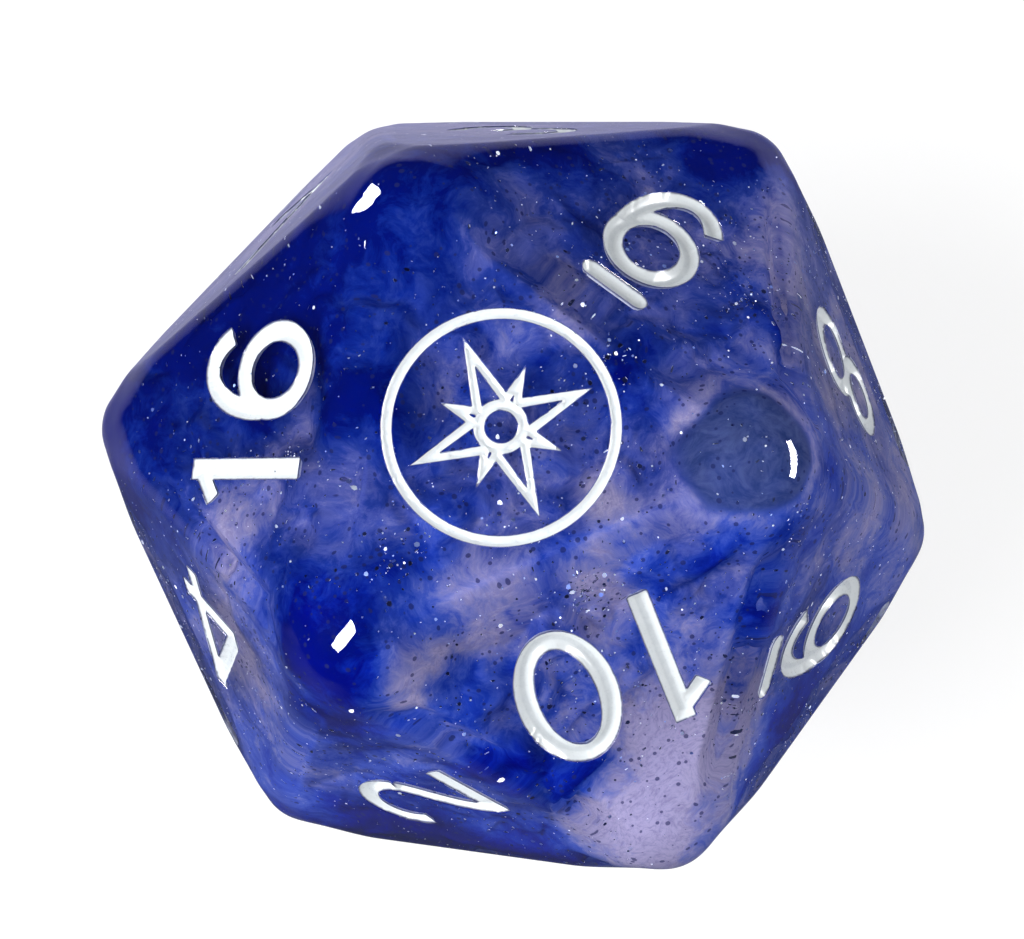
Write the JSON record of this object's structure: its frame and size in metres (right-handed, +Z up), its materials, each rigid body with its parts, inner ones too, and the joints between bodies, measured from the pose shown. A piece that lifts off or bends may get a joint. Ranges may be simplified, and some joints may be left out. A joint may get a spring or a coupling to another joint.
{
  "type": "twenty-sided die",
  "caption": "Rounded icosahedral game die in clear violet resin with a blue pour and glitter, white-filled engraved numerals and a compass star.",
  "frame": {"origin": "middle of the face the die rests on (face 1)", "axes": "+Z up, out of the highest face; +Y towards the corner of that face that the top of its emblem points to; +X to the right, seen from above"},
  "size_m": [0.0212, 0.0236, 0.02],
  "materials": {
    "resin": "polished translucent casting resin, ultramarine and lilac swirl",
    "paint": "glossy white acrylic paint",
    "glitter": "bright metallised polyester"
  },
  "bodies": {
    "root": {"resin_body": "resin", "numeral_01": "paint", "numeral_02": "paint", "numeral_03": "paint", "numeral_04": "paint", "numeral_05": "paint", "numeral_06": "paint", "numeral_07": "paint", "numeral_08": "paint", "numeral_09": "paint", "numeral_10": "paint", "numeral_11": "paint", "numeral_12": "paint", "numeral_13": "paint", "numeral_14": "paint", "numeral_15": "paint", "numeral_16": "paint", "numeral_17": "paint", "numeral_18": "paint", "numeral_19": "paint", "emblem_20": "paint", "glitter_flakes": "glitter"}
  },
  "joints": []
}
